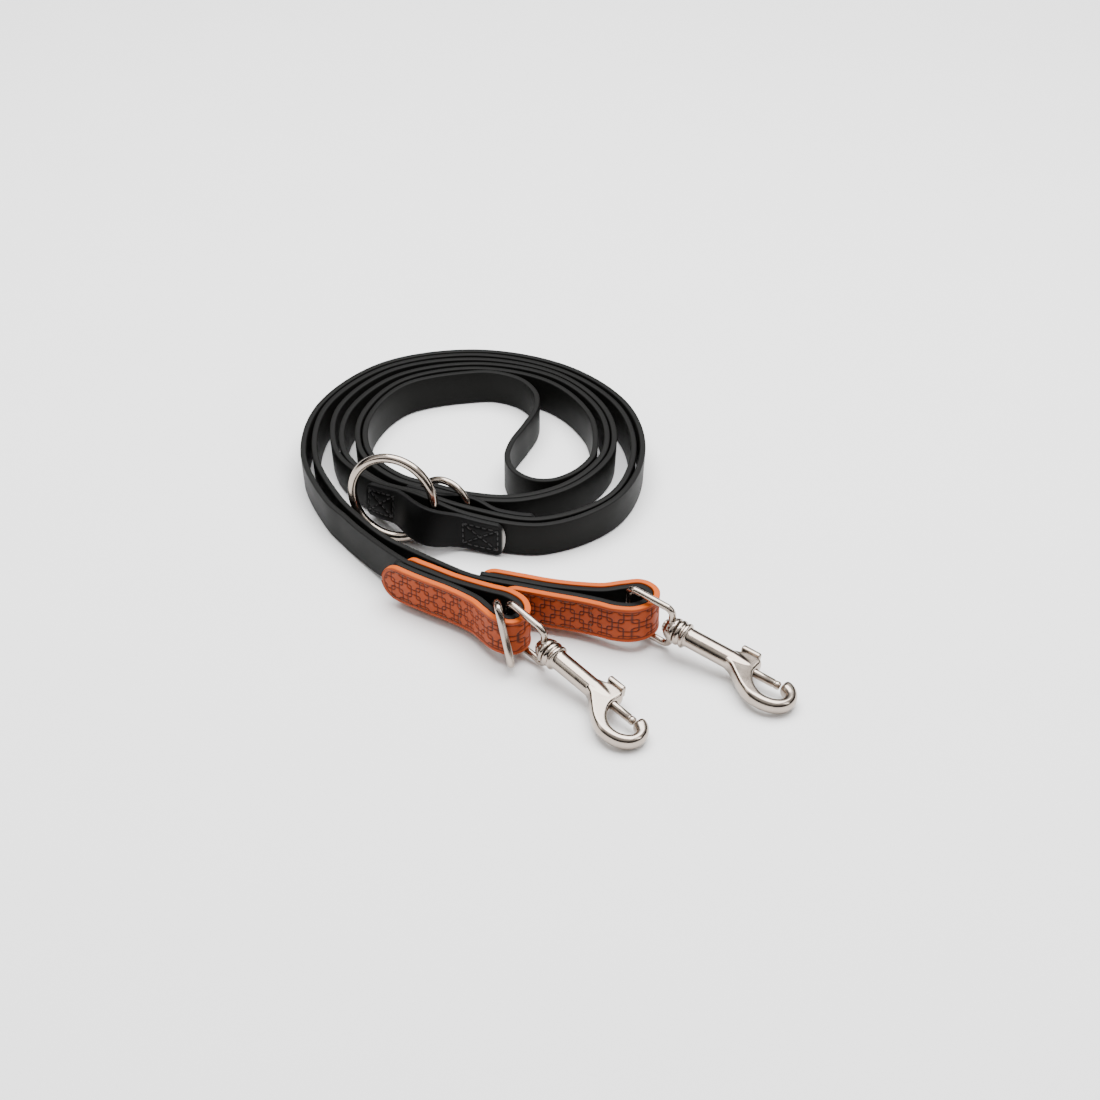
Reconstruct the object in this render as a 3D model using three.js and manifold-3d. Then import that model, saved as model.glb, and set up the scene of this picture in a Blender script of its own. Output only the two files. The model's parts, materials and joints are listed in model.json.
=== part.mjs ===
// Training leash: one long flat strap, wound up on its edge, with a swivel bolt snap in a
// leather-covered loop at each end and two ring keepers sewn along its length.
// Units are millimetres, +Z is up, and the origin is the middle of the footprint on the floor.
import * as THREE from 'three';
import { mergeVertices } from 'three/addons/utils/BufferGeometryUtils.js';
import Module from 'manifold-3d';

const wasm = await Module();
wasm.setup();

// ---- driving dimensions -------------------------------------------------------------
const STRAP_WIDTH = 16;
const STRAP_THICK = 2.6;
const COVER_THICK = 2.6;
const COVER_WIDTH = 16.6;
const KEEPER_THICK = 2.4;
const GAP = 0.3;
const SIDES = 12;
const STEPS_PER_STATION = 4;

// The coil: its centre, then its radius at every 30 degrees, anticlockwise from above.
const LAYOUT_SHIFT = [6.7, -13.95, 0.4];
const COIL_CENTRE = [-34, 62.5];
const COIL_STEP = THREE.MathUtils.degToRad(30);
const RUN_A_RADII = [
  53.4, 59.8, 66.6, 69, 67.8, 58.4, 48.9, 39.4, 33.2, 35.3, 42.4, 51.2,
  61.1, 68.2, 74.4, 76.9, 77.8, 70.9, 59.8, 49.5, 47.3, 49.4, 63.2, 71.6,
  74.8, 78.6, 81.6, 84.2, 85, 80.2, 74.7, 71.8,
];
const RUN_B_RADII = [
  65.8, 64, 54.7, 45.4, 36, 30, 32.1, 39.2, 48, 57.7, 65, 71.2,
  73, 72.5, 65.4, 56.3, 45.6, 43.4, 45.6, 58.5, 68.2, 70.8, 74.5, 77.8,
  80.9, 81.6, 76.8, 69.6, 66.2,
];
// Each run is lifted and leans outwards where its ring keeper props it up:
// the turn at the middle of the lift in degrees, its half length, its height and the lean.
const RUN_A_LIFT = { middle: 598, reach: 46, height: 7, lean: -8 };
const RUN_B_LIFT = { middle: 608, reach: 40, height: 5.2, lean: -4 };
const COIL_LEAN = 3;

// The fold in the middle of the strap, from run B's start back to run A's start.
const FOLD = [
  [-24, 127.3], [-13, 121.2], [-6.6, 110], [-6.6, 97], [-11.2, 84], [-17, 70],
  [-18.8, 58], [-15.4, 47.6], [-7.6, 41.2], [1, 40.8], [9, 45.4], [15.8, 53.4],
];

// The end stretches, from the coil to the folded tip: x, y and height over the floor.
const END_1 = [
  [-87.3, 14.1, 0], [-81.7, 6.1, 0.2], [-76.1, -1.6, 0.9], [-65.8, -15.6, 2.9],
  [-57.3, -25, 4], [-49, -30.3, 4], [-40.8, -35.5, 4], [-32.8, -40.1, 4.4], [-24.9, -44.4, 5],
  [-17.4, -48.4, 5.6], [-12.8, -53.2, 5.6], [-12, -59.2, 5.6], [-15.2, -63, 5.6],
  [-20.1, -60.9, 5.6], [-24.4, -55.4, 5.2], [-28.2, -49.6, 4.6], [-33, -44.6, 4], [-40.5, -39.2, 4],
  [-48.8, -34.2, 4], [-56.5, -29.2, 4], [-63.1, -24.4, 4], [-69.7, -19.6, 4],
];
const END_2 = [
  [-80.4, 12.7, 0], [-69.1, -1, 0], [-57.3, -10.5, 0], [-43.2, -22.2, 1.2], [-33, -31.2, 3],
  [-25, -35.6, 4], [-12.1, -39.4, 4], [0, -43.1, 4], [12.1, -46.6, 4], [20.1, -49.9, 4.4],
  [27, -53.4, 5], [33.4, -54.6, 5.6], [38.6, -51.4, 5.6], [40, -46.2, 5.6], [36.6, -42.4, 5.6],
  [30.3, -42.2, 5], [22, -43.2, 4.4], [12.1, -42, 4], [0, -39.8, 4], [-12.2, -36.2, 4],
  [-25, -32.4, 4], [-37.8, -28.8, 4],
];

// Rings and D-ring.
const RING_RADIUS = 18.6;
const RING_WIRE = 4;
const SMALL_RING_RADIUS = 11.6;
const SMALL_RING_WIRE = 3.2;
const DEE_HALF_BAR = 12.4;
const DEE_DEPTH = 19;
const DEE_WIRE = 3.2;

// Bolt snap: x runs from the swivel to the hook's tip, the hook bulges towards -y.
const EYE_REACH = 23.6;
const EYE_HALF_HEIGHT = 11;
const EYE_WIRE = 3;
const EYE_ROLL_DEG = 9.5;
const BARREL_RADIUS = 4.1;
const BORE_RADIUS = 2.05;
const BOLT_RADIUS = 1.75;
const BOLT_TIP = 47.5;
const BOLT_TAIL = 19;
const PLATE_HALF = 3;
const STUD_RADIUS = 1.1;
const KNOB_CENTRE = 29.5;
const TAB_SIZE = [8.6, 2.7, 5.6];
const TAB_BOTTOM = 6.5;
const BOLT_TRAVEL = 8.5;
const HOOK_OUTLINE = [
  [17, 4], [22, 5], [27, 6], [34.8, 6], [36, 4.8], [36, -1.2], [37.4, -4.6], [40.4, -7.8],
  [44.8, -9.7], [49, -9.2], [51.8, -6.6], [51.4, -3.8], [48.6, -2], [48, -0.4], [48, 2],
  [49.4, 3.3], [52.4, 2.6], [55.6, -0.6], [57, -5], [56, -9.6], [52.6, -13.2], [47.4, -15],
  [41.4, -14.8], [35.6, -12.2], [30.4, -8.2], [25.6, -4.8], [17, -4],
];

const COLOURS = {
  strap: { color: 0x2b2b2a, roughness: 0.55, metalness: 0 },
  keeper: { color: 0x2e2e2f, roughness: 0.5, metalness: 0 },
  leather: { color: 0xc4572a, roughness: 0.6, metalness: 0 },
  nickel: { color: 0xd8d0ca, roughness: 0.18, metalness: 1 },
  spring: { color: 0x9a9a98, roughness: 0.35, metalness: 1 },
};

// ---- small helpers ------------------------------------------------------------------
function bare(geometry) {
  const copy = geometry.clone();
  copy.deleteAttribute('normal');
  copy.deleteAttribute('uv');
  return mergeVertices(copy, 1e-4);
}

function toSolid(geometry) {
  const merged = bare(geometry);
  return new wasm.Manifold(new wasm.Mesh({
    numProp: 3,
    vertProperties: new Float32Array(merged.attributes.position.array),
    triVerts: new Uint32Array(merged.index.array),
  }));
}

function toGeometry(solid) {
  const mesh = solid.getMesh();
  const geometry = new THREE.BufferGeometry();
  geometry.setAttribute('position', new THREE.BufferAttribute(mesh.vertProperties, 3));
  geometry.setIndex(new THREE.BufferAttribute(mesh.triVerts, 1));
  geometry.computeVertexNormals();
  return geometry;
}

function piece(name, geometry, look) {
  const mesh = new THREE.Mesh(geometry, new THREE.MeshStandardMaterial(COLOURS[look]));
  mesh.name = name;
  return mesh;
}

function place(geometry, x, y, z) {
  return geometry.clone().translate(x, y, z);
}

// A lathe profile turned about the snap's own x axis.
function turned(profile, segments = 32) {
  const points = profile.map(([x, r]) => new THREE.Vector2(r, x));
  return new THREE.LatheGeometry(points, segments).rotateZ(-Math.PI / 2);
}

// A round wire along a closed path: the extrusion's sides only, without its two end lids.
function wireLoop(points, diameter, steps) {
  const path = new THREE.CatmullRomCurve3(points, true, 'centripetal');
  const section = new THREE.Shape().absarc(0, 0, diameter / 2, 0, 2 * Math.PI);
  const extrusion = new THREE.ExtrudeGeometry(section, {
    extrudePath: path, steps, curveSegments: SIDES / 2,
  });
  const sides = extrusion.groups[1];
  const corners = extrusion.attributes.position.array.slice(
    3 * sides.start, 3 * (sides.start + sides.count),
  );
  const geometry = new THREE.BufferGeometry();
  geometry.setAttribute('position', new THREE.BufferAttribute(corners, 3));
  const closed = mergeVertices(geometry, 0.02);
  closed.computeVertexNormals();
  return closed;
}

// ---- the strap's route --------------------------------------------------------------
// Each station is the strap's lower edge and the way its upper edge leans.
function liftAt(turn, lift) {
  const away = Math.abs(turn - lift.middle) / lift.reach;
  return away < 1 ? Math.cos(away * Math.PI / 2) ** 2 : 0;
}

function coilStation(radius, turn, lift) {
  const angle = THREE.MathUtils.degToRad(turn);
  const part = liftAt(turn, lift);
  const lean = THREE.MathUtils.degToRad(COIL_LEAN + part * (lift.lean - COIL_LEAN));
  const out = new THREE.Vector3(Math.cos(angle), Math.sin(angle), 0);
  const head = out.clone().multiplyScalar(radius);
  head.x += COIL_CENTRE[0];
  head.y += COIL_CENTRE[1];
  head.z = STRAP_WIDTH * Math.cos(lean) + part * lift.height;
  const foot = head.clone().addScaledVector(out, -STRAP_WIDTH * Math.sin(lean));
  foot.z = part * lift.height;
  return { foot, head };
}

function run(radii, startTurn, lift) {
  const stepDeg = THREE.MathUtils.radToDeg(COIL_STEP);
  return radii.map((radius, i) => coilStation(radius, startTurn + i * stepDeg, lift));
}

function upright([x, y, lift = 0]) {
  return {
    foot: new THREE.Vector3(x, y, lift),
    head: new THREE.Vector3(x, y, lift + STRAP_WIDTH),
  };
}

const stations = [
  ...END_1.map(upright).reverse(),
  ...run(RUN_A_RADII, 0, RUN_A_LIFT).reverse(),
  ...FOLD.map(upright).reverse(),
  ...run(RUN_B_RADII, 90, RUN_B_LIFT),
  ...END_2.map(upright),
];
const footLine = new THREE.CatmullRomCurve3(stations.map((s) => s.foot), false, 'centripetal');
const headLine = new THREE.CatmullRomCurve3(stations.map((s) => s.head), false, 'centripetal');
const LAST = stations.length - 1;

// The strap's cross-section at a station number: its middle, its way up, and its face's normal.
function frameAt(station) {
  const t = THREE.MathUtils.clamp(station / LAST, 0, 1);
  const foot = footLine.getPoint(t);
  const head = headLine.getPoint(t);
  const up = head.clone().sub(foot).normalize();
  const along = footLine.getTangent(t).add(headLine.getTangent(t)).normalize();
  const face = along.clone().cross(up).normalize();
  return { middle: foot.add(head).multiplyScalar(0.5), up, face };
}

// A flat strip that follows the strap: offset is how far it stands off the strap's middle on
// the face's side, tilt how much further its lower edge stands off, and its ends are rounded.
function strip({ from, to, steps, thick, width, offset = () => 0, tilt = () => 0, round = 0 }) {
  const geometry = bare(new THREE.BoxGeometry(1, thick, width, steps, 1, 1));
  const position = geometry.attributes.position;
  const point = new THREE.Vector3();
  const length = Math.abs(to - from);
  for (let i = 0; i < position.count; i++) {
    point.fromBufferAttribute(position, i);
    const share = point.x + 0.5;
    const frame = frameAt(from + (to - from) * share);
    const inset = Math.min(share, 1 - share) * length / round;
    const taper = round > 0 && inset < 1 ? Math.sqrt(1 - (1 - inset) ** 2 * 0.9) : 1;
    const side = offset(share) + point.y;
    const lower = (0.5 - point.z / width) * tilt(share);
    const spot = frame.middle
      .addScaledVector(frame.up, point.z * taper)
      .addScaledVector(frame.face, side + lower);
    position.setXYZ(i, spot.x, spot.y, spot.z);
  }
  if (!turnsOut(geometry)) flip(geometry);
  geometry.computeVertexNormals();
  return geometry;
}

function turnsOut(geometry) {
  const position = geometry.attributes.position;
  const index = geometry.index;
  const corners = [new THREE.Vector3(), new THREE.Vector3(), new THREE.Vector3()];
  let volume = 0;
  for (let i = 0; i < index.count; i += 3) {
    corners.forEach((corner, k) => corner.fromBufferAttribute(position, index.getX(i + k)));
    volume += corners[0].dot(corners[1].clone().cross(corners[2]));
  }
  return volume > 0;
}

function flip(geometry) {
  const index = geometry.index;
  for (let i = 0; i < index.count; i += 3) {
    const second = index.getX(i + 1);
    index.setX(i + 1, index.getX(i + 2));
    index.setX(i + 2, second);
  }
}

// ---- the strap, its keepers and its leather covers ------------------------------------
const KEEPER_OFFSET = STRAP_THICK / 2 + GAP + KEEPER_THICK / 2;
const COVER_OFFSET = STRAP_THICK / 2 + GAP + COVER_THICK / 2;
const TUNNEL_1_RISE = RING_WIRE + 0.9;
const TUNNEL_2_RISE = SMALL_RING_WIRE + 1.3;
const TUNNEL_SHARE = 0.24;

// Where each piece lies along the strap, in stations. The leather's ends are rounded, so the
// square corners of the strap's second tail show beside it.
const STRAP_SPAN = [1, LAST - 0.75];
const KEEPER_1_SPAN = [31.5, 34];
const KEEPER_2_SPAN = [82.5, 85];
const COVER_1_SPAN = [0.4, 17.6];
const COVER_2_SPAN = [100.4, LAST - 0.6];
const KEEPER_STEPS = 40;
const COVER_STEPS = 64;

// A keeper lies on the strap at both ends and stands off it in the middle third.
function tunnel(share, rise) {
  const away = Math.abs(share - 0.5) / TUNNEL_SHARE;
  return away < 1 ? rise * Math.cos(away * Math.PI / 2) ** 2 : 0;
}

function strapPiece(name, [from, to]) {
  const steps = Math.round((to - from) * STEPS_PER_STATION);
  return piece(name, strip({
    from, to, steps, thick: STRAP_THICK, width: STRAP_WIDTH, round: 0,
  }), 'strap');
}

function keeper(name, [from, to], rise, lowerRise) {
  return piece(name, strip({
    from, to, steps: KEEPER_STEPS, thick: KEEPER_THICK, width: STRAP_WIDTH, round: 0.18,
    offset: (share) => -KEEPER_OFFSET - tunnel(share, rise),
    tilt: (share) => -tunnel(share, lowerRise),
  }), 'keeper');
}

function cover(name, [from, to]) {
  return piece(name, strip({
    from, to, steps: COVER_STEPS, thick: COVER_THICK, width: COVER_WIDTH, round: 0.7,
    offset: () => COVER_OFFSET,
  }), 'leather');
}

const softGoods = new THREE.Group();
softGoods.add(
  strapPiece('main_strap', STRAP_SPAN),
  keeper('ring_keeper_1', KEEPER_1_SPAN, TUNNEL_1_RISE, 3),
  keeper('ring_keeper_2', KEEPER_2_SPAN, TUNNEL_2_RISE, 0),
  cover('leather_cover_1', COVER_1_SPAN),
  cover('leather_cover_2', COVER_2_SPAN),
);

// ---- the loose rings ----------------------------------------------------------------
const RING_PLACE = [-66.84, 20.19, 20.7];
const SMALL_RING_PLACE = [-45.1, 25.8, 13.2];
const DEE_PLACE = [-18.8, -62.05, 14.05];
const DEE_BAR_DIRECTION = new THREE.Vector3(0.207, -0.304, -0.929);
const DEE_REACH_DIRECTION = new THREE.Vector3(0.088, -0.875, 0.477);
const RING_STEPS = 48;

function roundRing(name, radius, wire, centre, facingDeg, tiltDeg) {
  const ring = piece(name, new THREE.TorusGeometry(radius, wire / 2, SIDES, RING_STEPS), 'nickel');
  ring.rotation.set(
    THREE.MathUtils.degToRad(90 + tiltDeg), 0, THREE.MathUtils.degToRad(facingDeg), 'ZXY',
  );
  ring.position.set(...centre);
  return ring;
}

// A D-ring in its own plane: the straight bar at +y, the bow towards -y.
function deeRing(name, centre, barDirection, reach) {
  const r = 3;
  const points = [
    [-DEE_HALF_BAR + r, 8.2], [0, 8.2], [DEE_HALF_BAR - r, 8.2],
    [DEE_HALF_BAR - 0.6, 7.4], [DEE_HALF_BAR, 5.2], [DEE_HALF_BAR - 0.4, 0.6], [9.6, -5.2],
    [5.4, -9.2], [0, 8.2 - DEE_DEPTH], [-5.4, -9.2], [-9.6, -5.2],
    [-DEE_HALF_BAR + 0.4, 0.6], [-DEE_HALF_BAR, 5.2], [-DEE_HALF_BAR + 0.6, 7.4],
  ].map(([x, y]) => new THREE.Vector3(x, y, 0));
  const ring = piece(name, wireLoop(points, DEE_WIRE, 64), 'nickel');
  const across = barDirection.clone().normalize();
  const normal = across.clone().cross(reach).normalize();
  const outward = normal.clone().cross(across);
  ring.setRotationFromMatrix(new THREE.Matrix4().makeBasis(across, outward, normal));
  ring.position.set(...centre);
  return ring;
}

const rings = new THREE.Group();
rings.add(
  roundRing('ring_1', RING_RADIUS, RING_WIRE, RING_PLACE, -19.4, -6.5),
  roundRing('ring_2', SMALL_RING_RADIUS, SMALL_RING_WIRE, SMALL_RING_PLACE, -28.2, -5.1),
  deeRing('dee_ring', DEE_PLACE, DEE_BAR_DIRECTION, DEE_REACH_DIRECTION),
);

// ---- the bolt snap --------------------------------------------------------------------
function union(...geometries) {
  return geometries.map(toSolid).reduce((all, next) => all.add(next));
}

function swivelEye(name) {
  const x0 = -EYE_REACH;
  const x1 = -3;
  const h = EYE_HALF_HEIGHT;
  const r = 3;
  const points = [
    [x0, 0], [x0, h - r], [x0 + 0.9, h - 0.9], [x0 + r, h], [(x0 + x1) / 2, h], [x1 - r, h],
    [x1 - 0.9, h - 0.9], [x1, h - r], [x1, 0], [x1, r - h], [x1 - 0.9, 0.9 - h], [x1 - r, -h],
    [(x0 + x1) / 2, -h], [x0 + r, -h], [x0 + 0.9, 0.9 - h], [x0, r - h],
  ].map(([x, z]) => new THREE.Vector3(x, 0, z));
  const boss = turned([
    [-5, 0], [-5, 3.4], [-4.4, 4], [-1.6, 5.2], [-0.3, 5.2], [-0.3, 0],
  ]);
  const hole = turned([[-6, 0], [-6, 2], [0.4, 2], [0.4, 0]]);
  const solid = union(wireLoop(points, EYE_WIRE, 72), boss).subtract(toSolid(hole));
  return piece(name, toGeometry(solid), 'nickel');
}

function swivelRivet(name) {
  return piece(name, turned([
    [-6.6, 0], [-6.6, 1.6], [-6, 2.6], [-5.3, 2.8], [-5.3, 1.7], [4, 1.7], [4, 1.95],
    [5.4, 1.95], [5.4, 0],
  ], 24), 'nickel');
}

function snapBody(name) {
  const barrel = turned([
    [0, 0], [0, 4.8], [0.6, 5.3], [1.8, 5.3], [2.3, 4.7], [2.9, 4.7], [3.4, 5.3], [4.4, 5.3],
    [4.9, BARREL_RADIUS], [30, BARREL_RADIUS], [35.8, PLATE_HALF], [35.8, 0],
  ]);
  const bevel = 1.1;
  const outline = new THREE.Shape(HOOK_OUTLINE.map(([x, y]) => new THREE.Vector2(x, y)));
  const plate = new THREE.ExtrudeGeometry(outline, {
    depth: 2 * (PLATE_HALF - bevel), bevelThickness: bevel, bevelSize: bevel * 0.6,
    bevelOffset: -bevel * 0.6, bevelSegments: 2,
  }).translate(0, 0, bevel - PLATE_HALF);
  const bore = turned([[3.4, 0], [3.4, BORE_RADIUS], [37.5, BORE_RADIUS], [37.5, 0]], 24);
  const rivetHole = turned([[-1, 0], [-1, 1.85], [4, 1.85], [4, 0]], 24);
  const slotLength = BOLT_TRAVEL + 2 * STUD_RADIUS + 1;
  const slot = place(new THREE.BoxGeometry(slotLength, 8, 2 * STUD_RADIUS + 0.6),
    KNOB_CENTRE - (BOLT_TRAVEL - 0.4) / 2, 4, 0);
  const solid = union(barrel, plate)
    .subtract(toSolid(bore)).subtract(toSolid(rivetHole)).subtract(toSolid(slot));
  return piece(name, toGeometry(solid), 'nickel');
}

function bolt(name) {
  const rod = turned([
    [BOLT_TAIL, 0], [BOLT_TAIL, BOLT_RADIUS], [BOLT_TIP - 0.6, BOLT_RADIUS],
    [BOLT_TIP, BOLT_RADIUS - 0.6], [BOLT_TIP, 0],
  ], 24);
  const socket = new THREE.CylinderGeometry(0.9, 0.9, 3, SIDES).translate(KNOB_CENTRE, 1.5, 0);
  return piece(name, toGeometry(toSolid(rod).subtract(toSolid(socket))), 'nickel');
}

function thumbKnob(name) {
  const profile = [
    [0.3, 0], [0.3, 0.7], [1.7, 0.7], [1.7, STUD_RADIUS],
    [TAB_BOTTOM + 1, STUD_RADIUS], [TAB_BOTTOM + 1, 0],
  ].map(([y, r]) => new THREE.Vector2(r, y));
  const stud = new THREE.LatheGeometry(profile, 28).translate(KNOB_CENTRE, 0, 0);
  const tab = place(new THREE.BoxGeometry(...TAB_SIZE),
    KNOB_CENTRE, TAB_BOTTOM + TAB_SIZE[1] / 2, 0);
  return piece(name, toGeometry(union(stud, tab)), 'nickel');
}

function returnSpring(name) {
  const turns = 6;
  const from = 6.2;
  const length = BOLT_TAIL - 0.8 - from;
  const points = Array.from({ length: turns * SIDES + 1 }, (_, i) => {
    const angle = i / SIDES * 2 * Math.PI;
    const x = from + length * i / (turns * SIDES);
    return new THREE.Vector3(x, 1.4 * Math.cos(angle), 1.4 * Math.sin(angle));
  });
  const section = new THREE.Shape().absarc(0, 0, 0.35, 0, 2 * Math.PI);
  const geometry = new THREE.ExtrudeGeometry(section, {
    extrudePath: new THREE.CatmullRomCurve3(points), steps: turns * SIDES, curveSegments: 3,
  });
  return piece(name, geometry, 'spring');
}

function boltSnap(number, swivel, headingDeg, dipDeg, rollDeg) {
  const snap = new THREE.Group();
  const eye = swivelEye(`swivel_eye_${number}`);
  eye.rotation.x = THREE.MathUtils.degToRad(rollDeg);
  snap.add(
    eye,
    swivelRivet(`swivel_rivet_${number}`),
    snapBody(`snap_body_${number}`),
    bolt(`snap_bolt_${number}`),
    thumbKnob(`thumb_knob_${number}`),
    returnSpring(`bolt_spring_${number}`),
  );
  snap.position.set(...swivel);
  snap.rotation.set(
    0, THREE.MathUtils.degToRad(dipDeg), THREE.MathUtils.degToRad(headingDeg), 'ZYX',
  );
  return snap;
}

const leash = new THREE.Group();
leash.add(
  softGoods,
  rings,
  boltSnap(1, [0.05, -73.4, 11.8], -46, 8.9, EYE_ROLL_DEG),
  boltSnap(2, [51.1, -60.2, 12], -33, 9, EYE_ROLL_DEG),
);
leash.position.set(...LAYOUT_SHIFT);

export default leash;
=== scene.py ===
# A training leash: one long flat strap wound up on its edge, with a swivel bolt snap in a
# leather-covered loop at each end, and rings held by keepers sewn to the strap.
import json
import math

import bmesh
import bpy
import numpy as np
from mathutils import Matrix, Vector


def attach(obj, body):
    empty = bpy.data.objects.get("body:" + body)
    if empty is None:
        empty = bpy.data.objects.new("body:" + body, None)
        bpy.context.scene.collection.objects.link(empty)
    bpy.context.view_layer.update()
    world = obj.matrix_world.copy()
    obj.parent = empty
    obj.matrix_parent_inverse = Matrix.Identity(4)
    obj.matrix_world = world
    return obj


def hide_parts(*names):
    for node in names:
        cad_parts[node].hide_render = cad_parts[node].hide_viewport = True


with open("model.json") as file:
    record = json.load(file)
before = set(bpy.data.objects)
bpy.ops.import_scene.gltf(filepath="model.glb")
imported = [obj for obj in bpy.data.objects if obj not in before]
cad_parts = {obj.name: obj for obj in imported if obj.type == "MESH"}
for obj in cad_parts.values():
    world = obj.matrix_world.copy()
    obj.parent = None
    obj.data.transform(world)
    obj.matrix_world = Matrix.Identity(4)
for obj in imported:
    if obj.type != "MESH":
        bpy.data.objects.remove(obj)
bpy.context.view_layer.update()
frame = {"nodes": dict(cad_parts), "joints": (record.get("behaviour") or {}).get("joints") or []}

MM = 0.001


# ---- the studio -------------------------------------------------------------------------
# A pale seamless floor under a wide soft light from above, with a weaker one from each side
# so that the polished metal picks up both bright and dark bands.
SHIFT = Vector((6.7, -13.95, 0.4)) * MM
CAMERA_TILT = math.radians(36.5)
CAMERA_REACH = 1.0
CAMERA_LENS = 77.73


def linear(code):
    parts = [int(code[i:i + 2], 16) / 255 for i in (1, 3, 5)]
    return [c / 12.92 if c <= 0.04045 else ((c + 0.055) / 1.055) ** 2.4 for c in parts] + [1.0]


def add_node(tree, kind, settings=None, inputs=None):
    node = tree.nodes.new(kind)
    for key, value in (settings or {}).items():
        setattr(node, key, value)
    for key, value in (inputs or {}).items():
        if isinstance(value, bpy.types.NodeSocket):
            tree.links.new(value, node.inputs[key])
        else:
            node.inputs[key].default_value = value
    return node


def new_material(name):
    material = bpy.data.materials.new(name)
    material.use_nodes = True
    tree = material.node_tree
    tree.nodes.clear()
    output = add_node(tree, "ShaderNodeOutputMaterial")
    return material, tree, output


aim = Vector((0, 0, 8 * MM)) + SHIFT
bpy.ops.object.camera_add(location=aim + CAMERA_REACH * Vector(
    (0, -math.cos(CAMERA_TILT), math.sin(CAMERA_TILT))),
    rotation=(math.pi / 2 - CAMERA_TILT, 0, 0))
camera = bpy.context.object
camera.data.lens = CAMERA_LENS
camera.data.sensor_width = 36
bpy.context.scene.camera = camera

world = bpy.data.worlds.new("studio")
bpy.context.scene.world = world
world.use_nodes = True
sky = world.node_tree
sky.nodes.clear()
direction = add_node(sky, "ShaderNodeTexCoord")
height = add_node(sky, "ShaderNodeSeparateXYZ", None, {0: direction.outputs["Generated"]})
glow = add_node(sky, "ShaderNodeValToRGB", None, {0: height.outputs["Z"]})
glow.color_ramp.elements[0].position = 0.34
glow.color_ramp.elements[0].color = linear("#171311")
glow.color_ramp.elements[1].position = 0.7
glow.color_ramp.elements[1].color = linear("#f2f2f2")
background = add_node(sky, "ShaderNodeBackground", None,
                      {"Color": glow.outputs[0], "Strength": 1.0})
add_node(sky, "ShaderNodeOutputWorld", None, {"Surface": background.outputs[0]})


def soft_light(name, place, size, power):
    bpy.ops.object.light_add(type="AREA", location=place)
    light = bpy.context.object
    light.name = name
    light.data.shape = "RECTANGLE"
    light.data.size, light.data.size_y = size
    light.data.energy = power
    light.rotation_euler = (aim - Vector(place)).to_track_quat("-Z", "Y").to_euler()


soft_light("overhead", (0.05, 0.2, 1.1), (1.3, 1.1), 43.0)
soft_light("left_side", (-0.9, -0.25, 0.55), (0.25, 0.7), 1.2)
soft_light("right_side", (0.85, -0.35, 0.6), (0.2, 0.6), 2.2)

bpy.ops.mesh.primitive_plane_add(size=60, location=(0, 0, 0))
floor = bpy.context.object
floor.name = "studio_floor"
paper, tree, output = new_material("seamless_paper")
fibres = add_node(tree, "ShaderNodeTexNoise", None, {"Scale": 900.0, "Detail": 3.0})
tint = add_node(tree, "ShaderNodeMix", {"data_type": "RGBA"},
                {0: fibres.outputs[0], 6: linear("#f6f6f6"), 7: linear("#fafafa")})
surface = add_node(tree, "ShaderNodeBsdfPrincipled", None,
                   {"Base Color": tint.outputs[2], "Roughness": 0.9})
tree.links.new(surface.outputs[0], output.inputs["Surface"])
floor.data.materials.append(paper)


# ---- the strap --------------------------------------------------------------------------
# Webbing coated with a soft black plastic, 16 mm wide and 2.6 mm thick. It is smooth and
# satin on its faces. Its cut edges are painted a little lighter, partly for the core's lines in
# them and partly as a painted highlight where the edge faces up to the light.
STRAP_WIDTH = 16.0
STRAP_THICK = 2.6
COIL_CENTRE = np.array([-34.0, 62.5])
COIL_STEP = 30.0
COIL_LEAN = 3.0
RUN_A_RADII = [
    53.4, 59.8, 66.6, 69, 67.8, 58.4, 48.9, 39.4, 33.2, 35.3, 42.4, 51.2,
    61.1, 68.2, 74.4, 76.9, 77.8, 70.9, 59.8, 49.5, 47.3, 49.4, 63.2, 71.6,
    74.8, 78.6, 81.6, 84.2, 85, 80.2, 74.7, 71.8]
RUN_B_RADII = [
    65.8, 64, 54.7, 45.4, 36, 30, 32.1, 39.2, 48, 57.7, 65, 71.2,
    73, 72.5, 65.4, 56.3, 45.6, 43.4, 45.6, 58.5, 68.2, 70.8, 74.5, 77.8,
    80.9, 81.6, 76.8, 69.6, 66.2]
# Where a ring keeper props a run up: the turn at the middle, half its length, height, lean.
RUN_A_LIFT = (598, 46, 7, -8)
RUN_B_LIFT = (608, 40, 5.2, -4)
FOLD = [
    (-24, 127.3), (-13, 121.2), (-6.6, 110), (-6.6, 97), (-11.2, 84), (-17, 70),
    (-18.8, 58), (-15.4, 47.6), (-7.6, 41.2), (1, 40.8), (9, 45.4), (15.8, 53.4)]
END_1 = [
    (-87.3, 14.1, 0), (-81.7, 6.1, 0.2), (-76.1, -1.6, 0.9), (-65.8, -15.6, 2.9),
    (-57.3, -25, 4), (-49, -30.3, 4), (-40.8, -35.5, 4), (-32.8, -40.1, 4.4), (-24.9, -44.4, 5),
    (-17.4, -48.4, 5.6), (-12.8, -53.2, 5.6), (-12, -59.2, 5.6), (-15.2, -63, 5.6),
    (-20.1, -60.9, 5.6), (-24.4, -55.4, 5.2), (-28.2, -49.6, 4.6), (-33, -44.6, 4),
    (-40.5, -39.2, 4), (-48.8, -34.2, 4), (-56.5, -29.2, 4), (-63.1, -24.4, 4),
    (-69.7, -19.6, 4)]
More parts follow.
